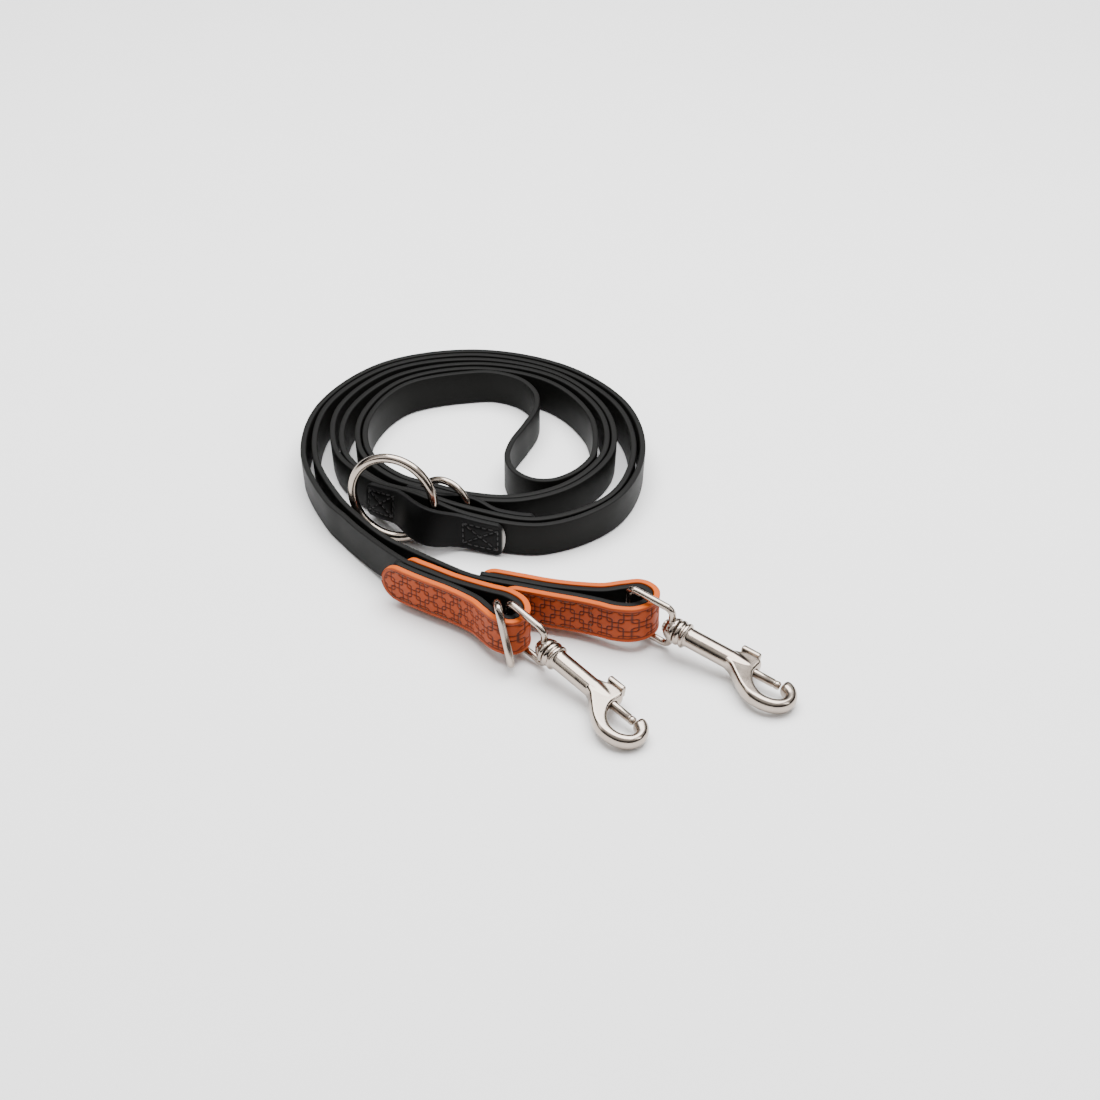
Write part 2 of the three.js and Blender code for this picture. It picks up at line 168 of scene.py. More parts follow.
END_2 = [
    (-80.4, 12.7, 0), (-69.1, -1, 0), (-57.3, -10.5, 0), (-43.2, -22.2, 1.2), (-33, -31.2, 3),
    (-25, -35.6, 4), (-12.1, -39.4, 4), (0, -43.1, 4), (12.1, -46.6, 4), (20.1, -49.9, 4.4),
    (27, -53.4, 5), (33.4, -54.6, 5.6), (38.6, -51.4, 5.6), (40, -46.2, 5.6),
    (36.6, -42.4, 5.6), (30.3, -42.2, 5), (22, -43.2, 4.4), (12.1, -42, 4), (0, -39.8, 4),
    (-12.2, -36.2, 4), (-25, -32.4, 4), (-37.8, -28.8, 4)]


def upright(spot):
    x, y, lift = (*spot, 0)[:3]
    return (x, y, lift), (x, y, lift + STRAP_WIDTH)


def coil_run(radii, first_turn, lift):
    middle, reach, rise, lifted_lean = lift
    spots = []
    for i, radius in enumerate(radii):
        turn = first_turn + i * COIL_STEP
        away = abs(turn - middle) / reach
        part = math.cos(away * math.pi / 2) ** 2 if away < 1 else 0
        lean = math.radians(COIL_LEAN + part * (lifted_lean - COIL_LEAN))
        out = np.array([math.cos(math.radians(turn)), math.sin(math.radians(turn))])
        head = COIL_CENTRE + out * radius
        foot = head - out * STRAP_WIDTH * math.sin(lean)
        low = part * rise
        spots.append(((*foot, low), (*head, low + STRAP_WIDTH * math.cos(lean))))
    return spots


stations = [upright(spot) for spot in reversed(END_1)]
stations += reversed(coil_run(RUN_A_RADII, 0, RUN_A_LIFT))
stations += [upright(spot) for spot in reversed(FOLD)]
stations += coil_run(RUN_B_RADII, 90, RUN_B_LIFT)
stations += [upright(spot) for spot in END_2]
FEET = np.array([foot for foot, head in stations], float)
HEADS = np.array([head for foot, head in stations], float)
LAST = len(stations) - 1


def through(points, where):
    """The smooth curve through the points, read at station numbers (a centripetal spline)."""
    padded = np.vstack([2 * points[0] - points[1], points, 2 * points[-1] - points[-2]])
    first = np.clip(np.floor(where).astype(int), 0, len(points) - 2)
    w = (where - first)[:, None]
    p0, p1, p2, p3 = (padded[first + k] for k in range(4))
    d0, d1, d2 = (np.sqrt(np.linalg.norm(b - a, axis=1))[:, None]
                  for a, b in ((p0, p1), (p1, p2), (p2, p3)))
    t1 = ((p1 - p0) / d0 - (p2 - p0) / (d0 + d1) + (p2 - p1) / d1) * d1
    t2 = ((p2 - p1) / d1 - (p3 - p1) / (d1 + d2) + (p3 - p2) / d2) * d1
    return (p1 + t1 * w + (3 * p2 - 3 * p1 - 2 * t1 - t2) * w ** 2
            + (2 * p1 - 2 * p2 + t1 + t2) * w ** 3)


def unit(vectors):
    return vectors / np.linalg.norm(vectors, axis=-1, keepdims=True)


def strap_frames(where):
    """Middle, way up and face normal of the strap at station numbers, in mm."""
    foot, head = through(FEET, where), through(HEADS, where)
    nudge = 0.02
    before, after = np.clip(where - nudge, 0, LAST), np.clip(where + nudge, 0, LAST)
    along = unit(through(FEET, after) - through(FEET, before)
                 + through(HEADS, after) - through(HEADS, before))
    up = unit(head - foot)
    return (foot + head) / 2, up, unit(np.cross(along, up))


def even_stations(first, last, pitch):
    """Station numbers a pitch of mm apart along the strap, and how far along each one is."""
    fine = np.linspace(first, last, int(abs(last - first) * 40) + 2)
    middle = strap_frames(fine)[0]
    run = np.concatenate([[0], np.cumsum(np.linalg.norm(np.diff(middle, axis=0), axis=1))])
    count = max(8, int(run[-1] / pitch))
    along = np.linspace(0, run[-1], count + 1)
    return np.interp(along, run, fine), along


def rounded_section(thick, width, radius, face_pitch=4.0):
    """Across-thickness and up-the-width points round a strap's section, anticlockwise."""
    a, b = thick / 2 - radius, width / 2 - radius
    corner = np.radians(np.arange(0, 91, 18))
    edge = np.linspace(-b, b, max(2, int(2 * b / face_pitch)) + 1)[1:-1]
    points = []
    for quarter, (ca, cb) in enumerate(((a, b), (-a, b), (-a, -b), (a, -b))):
        turn = corner + quarter * math.pi / 2
        points += [(ca + radius * math.cos(t), cb + radius * math.sin(t)) for t in turn]
        if quarter == 1:
            points += [(-thick / 2, v) for v in edge[::-1]]
    points += [(thick / 2, v) for v in edge]
    return np.array(points)


def mesh_object(name, vertices, faces, values=None, uv=None):
    """A new piece from vertices in mm; values are named numbers kept at each vertex."""
    mesh = bpy.data.meshes.new(name)
    mesh.from_pydata((np.asarray(vertices) * MM).tolist(), [], faces)
    for key, numbers in (values or {}).items():
        layer = mesh.attributes.new(key, "FLOAT", "POINT")
        layer.data.foreach_set("value", np.asarray(numbers, np.float32))
    if uv is not None:
        corner = np.empty(len(mesh.loops), np.int32)
        mesh.loops.foreach_get("vertex_index", corner)
        layer = mesh.uv_layers.new(name="along")
        layer.data.foreach_set("uv", np.asarray(uv, np.float32)[corner].ravel())
    mesh.polygons.foreach_set("use_smooth", np.ones(len(mesh.polygons), bool))
    mesh.update()
    piece = bpy.data.objects.new(name, mesh)
    bpy.context.scene.collection.objects.link(piece)
    return piece


def swept(name, rings, values=None, uv=None):
    """Joins rings of points, in mm, into a closed skin with a lid at each end."""
    count, size = rings.shape[:2]
    index = np.arange(count * size).reshape(count, size)
    after = np.roll(index, -1, axis=1)
    quads = np.stack([index[:-1], after[:-1], after[1:], index[1:]], axis=-1).reshape(-1, 4)
    faces = quads.tolist() + [index[0][::-1].tolist(), index[-1].tolist()]
    return mesh_object(name, rings.reshape(-1, 3), faces, values, uv)


def face_outwards(piece):
    work = bmesh.new()
    work.from_mesh(piece.data)
    bmesh.ops.recalc_face_normals(work, faces=work.faces)
    if work.calc_volume(signed=True) < 0:
        bmesh.ops.reverse_faces(work, faces=work.faces)
    work.to_mesh(piece.data)
    work.free()


def strip(name, first, last, pitch, section, offset=None, tilt=None, end_round=0.0,
          relief=None, bare_end=None):
    """A flat strip that follows the strap; relief carves its outer face, and the bare end
    is the one whose cut edge shows the uncoated core."""
    where, along = even_stations(first, last, pitch)
    middle, up, face = strap_frames(where)
    share = along / along[-1]
    stand = offset(share) if offset else np.zeros_like(share)
    skew = tilt(share) if tilt else np.zeros_like(share)
    to_end = np.minimum(along, along[-1] - along)
    shape = np.ones_like(share)
    if end_round:
        inside = np.clip(to_end / end_round, 0.012, 1)
        shape = np.sqrt(1 - (1 - inside) ** 2)
    a = np.broadcast_to(section[:, 0], (len(where), len(section))).copy()
    b = section[None, :, 1] * shape[:, None]
    values = {"carved": np.zeros(a.size), "edge": np.zeros(a.size), "tip": np.zeros(a.size)}
    half = section[:, 1].max()
    values["edge"] = np.broadcast_to(np.clip((np.abs(section[:, 1]) - half + 0.5) / 0.4, 0, 1),
                                     a.shape).ravel()
    if bare_end:
        from_bare = along if bare_end == "first" else along[-1] - along
        values["tip"] = np.broadcast_to(
            np.clip(1.3 - from_bare[:, None] / 0.8, 0, 1), a.shape).ravel()
    if relief:
        outer = np.abs(a) > section[:, 0].max() - 0.02
        depth, mark = relief(along[:, None] + 0 * b, b, along[-1])
        outer &= np.sign(a) == (-1 if stand.mean() < 0 else 1)
        a -= np.sign(a) * np.where(outer, depth, 0)
        values["carved"] = np.where(outer, mark, 0).ravel()
    lower = (0.5 - b / STRAP_WIDTH) * skew[:, None]
    rings = (middle[:, None] + up[:, None] * b[..., None]
             + face[:, None] * (a + stand[:, None] + lower)[..., None])
    rings += np.array(SHIFT) / MM
    around = np.concatenate([[0], np.cumsum(np.linalg.norm(np.diff(section, axis=0), axis=1))])
    uv = np.stack(np.broadcast_arrays(along[:, None], around[None]), -1).reshape(-1, 2)
    piece = swept(name, rings, values, uv)
    face_outwards(piece)
    return piece


# The coating has a faint pebble left by the roller it is pressed with, about 0.5 mm across,
# and a soft bloom of dust. The cut edges show the woven core as fine lines along the strap,
# in a lighter colour that is partly a painted highlight on the upturned edge.
def coated_webbing(name, base, edge_colour, roughness):
    material, tree, output = new_material(name)
    place = add_node(tree, "ShaderNodeTexCoord")
    path = add_node(tree, "ShaderNodeUVMap", {"uv_map": "along"})
    edge = add_node(tree, "ShaderNodeAttribute", {"attribute_name": "edge"})
    tip = add_node(tree, "ShaderNodeAttribute", {"attribute_name": "tip"})
    pebble = add_node(tree, "ShaderNodeTexNoise", None,
                      {"Vector": place.outputs["Object"], "Scale": 1900.0, "Detail": 2.0})
    bloom = add_node(tree, "ShaderNodeTexNoise", None,
                     {"Vector": place.outputs["Object"], "Scale": 60.0, "Detail": 4.0})
    stretch = add_node(tree, "ShaderNodeMapping", None,
                       {"Vector": path.outputs[0], "Scale": (0.05, 3.2, 1.0)})
    lines = add_node(tree, "ShaderNodeTexNoise", None,
                     {"Vector": stretch.outputs[0], "Scale": 1.0, "Detail": 3.0})
    shade = add_node(tree, "ShaderNodeMix", {"data_type": "RGBA"},
                     {0: bloom.outputs[0], 6: linear(base[0]), 7: linear(base[1])})
    # The edge colour is lighter than the face: the core's lines, plus a painted highlight where
    # the edge faces up to the light.
    core = add_node(tree, "ShaderNodeMix", {"data_type": "RGBA"},
                    {0: lines.outputs[0], 6: linear(edge_colour[0]), 7: linear(edge_colour[1])})
    both = add_node(tree, "ShaderNodeMix", {"data_type": "RGBA"},
                    {0: edge.outputs["Fac"], 6: shade.outputs[2], 7: core.outputs[2]})
    cut = add_node(tree, "ShaderNodeMix", {"data_type": "RGBA"},
                   {0: tip.outputs["Fac"], 6: both.outputs[2], 7: linear("#b5b2ae")})
    gloss = add_node(tree, "ShaderNodeMapRange", None,
                     {0: bloom.outputs[0], 3: roughness - 0.06, 4: roughness + 0.1})
    height = add_node(tree, "ShaderNodeMath", {"operation": "MULTIPLY_ADD"},
                      {0: edge.outputs["Fac"], 1: lines.outputs[0], 2: pebble.outputs[0]})
    bump = add_node(tree, "ShaderNodeBump", None,
                    {"Strength": 0.25, "Distance": 0.00008, "Height": height.outputs[0]})
    surface = add_node(tree, "ShaderNodeBsdfPrincipled", None, {
        "Base Color": cut.outputs[2], "Roughness": gloss.outputs[0], "Specular IOR Level": 0.08,
        "Normal": bump.outputs[0]})
    tree.links.new(surface.outputs[0], output.inputs["Surface"])
    return material


# The edge colours are lighter than the face colours, partly as a painted highlight on the upturned
# edges.
strap_coating = coated_webbing("pvc_coated_webbing", ("#0c0c0b", "#11110f"),
                               ("#111111", "#1f1f1e"), 0.5)
strap_section = rounded_section(STRAP_THICK, STRAP_WIDTH, 0.6)
main_strap = strip("strap", 1, LAST - 0.75, 1.3, strap_section)
main_strap.data.materials.append(strap_coating)
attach(main_strap, "leash")
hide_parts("main_strap")


# ---- the ring keepers -------------------------------------------------------------------
# Short lengths of the same coated webbing, each laid on the strap and sewn down at both ends
# with a box and a cross of black thread; the middle stands off to let a ring through.
KEEPER_THICK = 2.4
GAP = 0.3
BOX_START, BOX_LONG, BOX_HALF = 2.8, 15.5, 5.2
STITCH, STITCH_GAP, THREAD = 2.1, 0.75, 0.34


def tunnel(share, rise):
    away = np.abs(share - 0.5) / 0.24
    return np.where(away < 1, rise * np.cos(np.minimum(away, 1) * np.pi / 2) ** 2, 0)


def stitch_lines(length):
    """The box and cross at each end, as pairs of points: along the keeper, up its width."""
    lines = []
    for near in (BOX_START, length - BOX_START - BOX_LONG):
        far = near + BOX_LONG
        corners = [(near, -BOX_HALF), (far, -BOX_HALF), (far, BOX_HALF), (near, BOX_HALF)]
        lines += [(corners[i], corners[(i + 1) % 4]) for i in range(4)]
        lines += [(corners[0], corners[2]), (corners[1], corners[3])]
    return lines


def line_distance(u, v, lines):
    nearest = np.full(u.shape, 99.0)
    for (u0, v0), (u1, v1) in lines:
        du, dv = u1 - u0, v1 - v0
        t = np.clip(((u - u0) * du + (v - v0) * dv) / (du * du + dv * dv), 0, 1)
        nearest = np.minimum(nearest, np.hypot(u - u0 - t * du, v - v0 - t * dv))
    return nearest


def sewn_relief(u, v, length):
    nearest = line_distance(u, v, stitch_lines(length))
    dent = np.exp(-(nearest / 0.75) ** 2)
    return 0.34 * dent, dent


def capsule(start, end, radius, sides=6):
    """Rings of a short thread that dips into the cloth at both ends."""
    along = end - start
    side = unit(np.cross(along, [0.31, 0.17, 0.93]))
    other = unit(np.cross(along, side))
    turn = np.arange(sides) * 2 * math.pi / sides
    circle = np.cos(turn)[:, None] * side + np.sin(turn)[:, None] * other
    return [start + along * t + circle * radius * size
            for t, size in ((0, 0.35), (0.12, 0.85), (0.5, 1), (0.88, 0.85), (1, 0.35))]


def thread_piece(name, seams, radius):
    """One mesh of many stitches; each seam is a pair of points on the face, in mm."""
    vertices, faces = [], []
    for start, end in seams:
        rings = capsule(start, end, radius)
        base, size = len(vertices), len(rings[0])
        for ring in rings:
            vertices += ring.tolist()
        for r in range(len(rings) - 1):
            for k in range(size):
                low, high = base + r * size, base + (r + 1) * size
                faces.append([low + k, low + (k + 1) % size, high + (k + 1) % size, high + k])
        faces.append([base + k for k in reversed(range(size))])
        top = base + (len(rings) - 1) * size
        faces.append([top + k for k in range(size)])
    piece = mesh_object(name, vertices, faces)
    face_outwards(piece)
    return piece


def on_face(first, last, lines, stand_off, lift, skew=None):
    """Turns lines on a strip's face into stitches that lie on it."""
    where, along = even_stations(first, last, 0.5)
    seams = []
    for start, end in lines:
        start, end = np.array(start, float), np.array(end, float)
        length = np.linalg.norm(end - start)
        count = max(1, round(length / (STITCH + STITCH_GAP)))
        for i in range(count):
            pair = []
            for t in (i * (STITCH + STITCH_GAP), i * (STITCH + STITCH_GAP) + STITCH):
                u, v = start + (end - start) * min(t / length, 1)
                station = np.array([np.interp(u, along, where)])
                middle, up, face = strap_frames(station)
                share = np.array([u / along[-1]])
                lean = (0.5 - v / STRAP_WIDTH) * (skew(share)[0] if skew else 0)
                out = stand_off(share)[0] + lean + lift
                pair.append(middle[0] + up[0] * v + face[0] * out + np.array(SHIFT) / MM)
            seams.append(pair)
    return seams


# The edge colours are lighter than the face colours, partly as a painted highlight on the upturned
# edges.
keeper_coating = coated_webbing("pvc_coated_keeper", ("#060606", "#0a0a0a"),
                                ("#101010", "#1b1b1b"), 0.48)


def thread_material(name, dark, light, roughness):
    """Twisted sewing thread: its plies make a fine change of shade along it."""
    material, tree, output = new_material(name)
    place = add_node(tree, "ShaderNodeTexCoord")
    twist = add_node(tree, "ShaderNodeTexNoise", None,
                     {"Vector": place.outputs["Object"], "Scale": 4000.0, "Detail": 1.0})
    tone = add_node(tree, "ShaderNodeMix", {"data_type": "RGBA"},
                    {0: twist.outputs[0], 6: linear(dark), 7: linear(light)})
    surface = add_node(tree, "ShaderNodeBsdfPrincipled", None,
                       {"Base Color": tone.outputs[2], "Roughness": roughness})
    tree.links.new(surface.outputs[0], output.inputs["Surface"])
    return material


# Bonded polyester thread: smooth, waxed and a little glossier than the coating round it.
black_thread = thread_material("bonded_black_thread", "#0b0b0b", "#1c1c1c", 0.5)

keeper_section = rounded_section(KEEPER_THICK, STRAP_WIDTH, 0.5, 0.4)
KEEPER_OFFSET = STRAP_THICK / 2 + GAP + KEEPER_THICK / 2
for number, first, last, rise, lower, bare_end in (
        (1, 31.5, 34, 4.9, 3, "first"), (2, 82.5, 85, 4.5, 0, "last")):
    def stand_off(share, rise=rise):
        return -KEEPER_OFFSET - tunnel(share, rise)

    def skew(share, lower=lower):
        return -tunnel(share, lower)

    keeper = strip(f"keeper_{number}", first, last, 0.4, keeper_section, stand_off, skew,
                   end_round=3.5, relief=sewn_relief, bare_end=bare_end)
    keeper.data.materials.append(keeper_coating)
    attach(keeper, "leash")
    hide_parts(f"ring_keeper_{number}")
    keeper_length = even_stations(first, last, 0.4)[1][-1]
    seams = on_face(first, last, stitch_lines(keeper_length), stand_off,
                    0.2 - KEEPER_THICK / 2, skew)
    stitches = thread_piece(f"keeper_stitches_{number}", seams, THREAD)
    stitches.data.materials.append(black_thread)
    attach(stitches, "leash")


# ---- the leather covers -----------------------------------------------------------------
# Vegetable-tanned leather dyed orange, 2.6 mm thick, folded round each end loop. A hot plate
# has pressed a lattice of linked squares into it inside a plain raised rim.
COVER_THICK = 2.6
COVER_WIDTH = 16.6
RIM = 1.75
TILE = 8.4
SQUARE_HALF = 3.05
SQUARE_CORNER = 1.1
LINE_HALF = 0.2


def rounded_square(u, v):
    qu = np.abs(u) - (SQUARE_HALF - SQUARE_CORNER)
    qv = np.abs(v) - (SQUARE_HALF - SQUARE_CORNER)
    outside = np.hypot(np.maximum(qu, 0), np.maximum(qv, 0))
    return outside + np.minimum(np.maximum(qu, qv), 0) - SQUARE_CORNER


def lattice(u, v):
    """Distance to the nearest line of two linked grids of rounded squares."""
    lines = np.full(u.shape, 99.0)
    for shift in (0, TILE / 2):
        cell_u = (u + shift) % TILE - TILE / 2
        cell_v = (v + shift + TILE / 2) % TILE - TILE / 2
        lines = np.minimum(lines, np.abs(rounded_square(cell_u, cell_v)))
    return lines


def pressed_relief(u, v, length):
    half = COVER_WIDTH / 2
    core = np.clip(u, half, length - half)
    inside = half - np.hypot(u - core, v)
    groove = np.exp(-((inside - RIM) / 0.26) ** 2)
    field = np.clip((inside - RIM) / 0.3, 0, 1)
    lines = np.clip(1 - (lattice(u, v) - LINE_HALF) / 0.14, 0, 1) * np.clip(
        (inside - RIM - 0.2) / 0.2, 0, 1)
    round_edge = 0.5 * np.clip(1 - inside / 0.8, 0, 1) ** 2
    return round_edge + 0.12 * field + 0.4 * np.maximum(groove, lines), np.maximum(groove, lines)


# Drum-dyed leather: fine pores 0.3 mm across, slow changes of shade where it was handled,
# and dye that has gathered dark in the pressed lines.
leather, tree, output = new_material("embossed_orange_leather")
place = add_node(tree, "ShaderNodeTexCoord")
carved = add_node(tree, "ShaderNodeAttribute", {"attribute_name": "carved"})
edge = add_node(tree, "ShaderNodeAttribute", {"attribute_name": "edge"})
pores = add_node(tree, "ShaderNodeTexVoronoi", None,
                 {"Vector": place.outputs["Object"], "Scale": 2600.0})
patches = add_node(tree, "ShaderNodeTexNoise", None,
                   {"Vector": place.outputs["Object"], "Scale": 120.0, "Detail": 5.0})
dye = add_node(tree, "ShaderNodeMix", {"data_type": "RGBA"},
               {0: patches.outputs[0], 6: linear("#8a3000"), 7: linear("#9e3d00")})
# Painted highlight: the cover's edges are painted a lighter orange, standing in for the light that
# the rounded upper edge catches.
rim = add_node(tree, "ShaderNodeMix", {"data_type": "RGBA"},
               {0: edge.outputs["Fac"], 6: dye.outputs[2], 7: linear("#b44e00")})
pressed = add_node(tree, "ShaderNodeMix", {"data_type": "RGBA"},
                   {0: carved.outputs["Fac"], 6: rim.outputs[2], 7: linear("#481700")})
sheen = add_node(tree, "ShaderNodeMapRange", None, {0: patches.outputs[0], 3: 0.54, 4: 0.7})
grain = add_node(tree, "ShaderNodeBump", None,
                 {"Strength": 0.3, "Distance": 0.0001, "Height": pores.outputs["Distance"]})
surface = add_node(tree, "ShaderNodeBsdfPrincipled", None, {
    "Base Color": pressed.outputs[2], "Roughness": sheen.outputs[0],
    "Specular IOR Level": 0.28,
    "Normal": grain.outputs[0]})
tree.links.new(surface.outputs[0], output.inputs["Surface"])

# Waxed thread in a darker brown than the leather.
tan_thread = thread_material("waxed_tan_thread", "#431b08", "#6e3614", 0.55)

cover_section = rounded_section(COVER_THICK, COVER_WIDTH, 0.5, 0.26)
COVER_OFFSET = STRAP_THICK / 2 + GAP + COVER_THICK / 2
SEAM_START, SEAM_LONG, SEAM_HALF = 5, 40.0, 6.45
for number, first, last in ((1, 0.4, 17.6), (2, 100.4, LAST - 0.6)):
    def against_strap(share):
        return np.full_like(share, COVER_OFFSET)

    cover = strip(f"cover_{number}", first, last, 0.28, cover_section, against_strap,
                  end_round=COVER_WIDTH / 2, relief=pressed_relief)
    cover.data.materials.append(leather)
    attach(cover, "leash")
    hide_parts(f"leather_cover_{number}")
    cover_length = even_stations(first, last, 0.3)[1][-1]
    lines = []
    for near, far in ((SEAM_START, SEAM_LONG),
                      (cover_length - SEAM_LONG, cover_length - SEAM_START)):
        closed_end = far if near == SEAM_START else near
        lines += [((near, SEAM_HALF), (far, SEAM_HALF)), ((near, -SEAM_HALF), (far, -SEAM_HALF)),
                  ((closed_end, -SEAM_HALF), (closed_end, SEAM_HALF))]
    seams = on_face(first, last, lines, against_strap, COVER_THICK / 2 - 0.12)
    stitches = thread_piece(f"cover_stitches_{number}", seams, 0.26)
    stitches.data.materials.append(tan_thread)
    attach(stitches, "leash")


# ---- the rings --------------------------------------------------------------------------
# Steel wire bent round, welded and plated with bright nickel: a large and a small loose ring
# in the keepers, and a D-ring round the first end loop.
# Nickel plate is warm next to chrome, nearly a mirror, with hairline scratches from handling.
nickel, tree, output = new_material("bright_nickel_plate")
place = add_node(tree, "ShaderNodeTexCoord")
wear = add_node(tree, "ShaderNodeTexNoise", None,
                {"Vector": place.outputs["Object"], "Scale": 260.0, "Detail": 6.0})
tone = add_node(tree, "ShaderNodeMix", {"data_type": "RGBA"},
                {0: wear.outputs[0], 6: linear("#9a8e83"), 7: linear("#aea297")})
polish = add_node(tree, "ShaderNodeMapRange", None, {0: wear.outputs[0], 3: 0.1, 4: 0.26})
ripple = add_node(tree, "ShaderNodeTexNoise", None,
                  {"Vector": place.outputs["Object"], "Scale": 420.0, "Detail": 2.0})
bump = add_node(tree, "ShaderNodeBump", None,
                {"Strength": 0.12, "Distance": 0.0001, "Height": ripple.outputs[0]})
surface = add_node(tree, "ShaderNodeBsdfPrincipled", None, {
    "Base Color": tone.outputs[2], "Metallic": 1.0, "Roughness": polish.outputs[0],
    "Normal": bump.outputs[0]})
tree.links.new(surface.outputs[0], output.inputs["Surface"])


def finish_metal(piece, body, node):
    piece.data.materials.clear()
    piece.data.materials.append(nickel)
    piece.data.polygons.foreach_set("use_smooth", np.ones(len(piece.data.polygons), bool))
    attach(piece, body)
    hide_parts(node)


def settle(piece, matrix=None):
    """Moves a piece's place into its mesh, so that its object sits at the origin."""
    piece.data.transform((matrix or Matrix()) @ piece.matrix_basis)
    piece.matrix_basis = Matrix()
    piece.data.update()


joints = {joint["name"]: joint for joint in frame["joints"]}
for name, joint, radius, wire in (("ring_1", "ring_1_turn", 18.6, 4.0),
                                  ("ring_2", "ring_2_turn", 11.6, 3.2)):
    turning = Vector(joints[joint]["axis"]).to_track_quat("Z", "Y")
    bpy.ops.object.select_all(action="DESELECT")
    bpy.ops.mesh.primitive_torus_add(
        major_segments=144, minor_segments=28, major_radius=radius * MM,
        minor_radius=wire / 2 * MM, location=joints[joint]["pos_m"], rotation=turning.to_euler())
    ring = bpy.context.object
    ring.name = "keeper_" + name
    settle(ring)
    finish_metal(ring, name, name)


def round_wire(name, path, diameter, sides=20):
    """A round wire along a path of points, in mm."""
    path = np.asarray(path, float)
    along = unit(np.roll(path, -1, axis=0) - np.roll(path, 1, axis=0))
    flat = unit(np.linalg.svd(path - path.mean(axis=0))[2][2])
    out = unit(np.cross(along, flat))
    turn = np.arange(sides) * 2 * math.pi / sides
    circle = (np.cos(turn)[None, :, None] * out[:, None]
              + np.sin(turn)[None, :, None] * flat)
    rings = path[:, None] + circle * diameter / 2
    count, size = rings.shape[:2]
    index = np.arange(count * size).reshape(count, size)
    ahead, beside = np.roll(index, -1, axis=0), np.roll(index, -1, axis=1)
    corner = np.roll(ahead, -1, axis=1)
    quads = np.stack([index, beside, corner, ahead], axis=-1).reshape(-1, 4)
    piece = mesh_object(name, rings.reshape(-1, 3), quads.tolist())
    face_outwards(piece)
    return piece


def closed_curve(points, steps):
    """A smooth closed curve through given points."""
    points = np.asarray(points, float)
    wrapped = np.vstack([points[-3:], points, points[:4]])
    where = 3 + np.linspace(0, len(points), steps, endpoint=False)
    return through(wrapped, where)


DEE_HALF_BAR, DEE_DEPTH, DEE_WIRE, DEE_BAR_AT = 12.4, 19.0, 3.2, 8.2
half, top = DEE_HALF_BAR, DEE_BAR_AT
dee_side = [(half - 3, top), (half - 0.6, top - 0.8), (half, top - 3), (half - 0.4, 0.6),
            (9.6, -5.2), (5.4, -9.2)]
dee_outline = ([(0, top)] + dee_side + [(0, top - DEE_DEPTH)]
               + [(-x, y) for x, y in reversed(dee_side)])
dee = round_wire("end_dee_ring", np.c_[closed_curve(dee_outline, 120), np.zeros(120)], DEE_WIRE)
bar = Vector((0.207, -0.304, -0.929)).normalized()
normal = bar.cross(Vector((0.088, -0.875, 0.477))).normalized()
reach = normal.cross(bar)
stance = Matrix((bar, reach, normal)).transposed().to_4x4()
stance.translation = joints["dee_ring_turn"]["pos_m"]
settle(dee, stance)
finish_metal(dee, "dee_ring", "dee_ring")


# ---- the bolt snaps ---------------------------------------------------------------------
# Zinc castings, tumbled smooth and nickel plated. The eye turns on a rivet in the collar,
# the hook is one piece with the barrel, and a sprung bolt with a thumb tab closes it.
EYE_REACH, EYE_HALF, EYE_WIRE, EYE_ROLL = 23.6, 11.0, 3.0, 9.5
VOXEL, EYE_VOXEL = 0.26, 0.24
SLOT_CENTRE, SLOT_LONG, SLOT_WIDE = 25.45, 11.7, 2.8
TAB_CENTRE = 29.5
HOOK_OUTLINE = [
    (23, 3), (26, 4.6), (28.6, 6), (34.6, 6), (36, 4.8), (36, -1.2), (37.4, -4.6), (40.4, -7.8),
    (44.8, -9.7), (49, -9.2), (51.8, -6.6), (51.4, -3.8), (48.6, -2), (48, -0.4), (48, 2),
    (49.4, 3.3), (52.4, 2.6), (55.6, -0.6), (57, -5), (56, -9.6), (52.6, -13.2), (47.4, -15),
    (41.4, -14.8), (35.6, -12.2), (30.4, -8.2), (26.4, -4.9), (23, -3)]
HOOK_HALF = 3.15
PLATE_ROUNDING, BOW_ROUNDING = 1.2, 2.3


def lathed(name, profile, sides=64):
    """A solid turned about the x axis; the profile holds (x, radius) pairs from end to end."""
    turn = np.arange(sides) * 2 * math.pi / sides
    rings = np.array([[(x, r * math.cos(t), r * math.sin(t)) for t in turn]
                      for x, r in profile])
    piece = swept(name, rings)
    face_outwards(piece)
    return piece


def run_modifier(piece, kind, **settings):
    bpy.ops.object.select_all(action="DESELECT")
    piece.select_set(True)
    bpy.context.view_layer.objects.active = piece
    modifier = piece.modifiers.new(kind, kind)
    for key, value in settings.items():
        setattr(modifier, key, value)
    bpy.ops.object.modifier_apply(modifier=modifier.name)


def cast_together(pieces, voxel, smoothing):
    """Melts overlapping pieces into one skin with small fillets, as a casting has."""
    bpy.ops.object.select_all(action="DESELECT")
    for piece in pieces:
        piece.select_set(True)
    bpy.context.view_layer.objects.active = pieces[0]
    bpy.ops.object.join()
    casting = bpy.context.object
    run_modifier(casting, "REMESH", mode="VOXEL", voxel_size=voxel * MM)
    run_modifier(casting, "SMOOTH", factor=0.5, iterations=smoothing)
    return casting


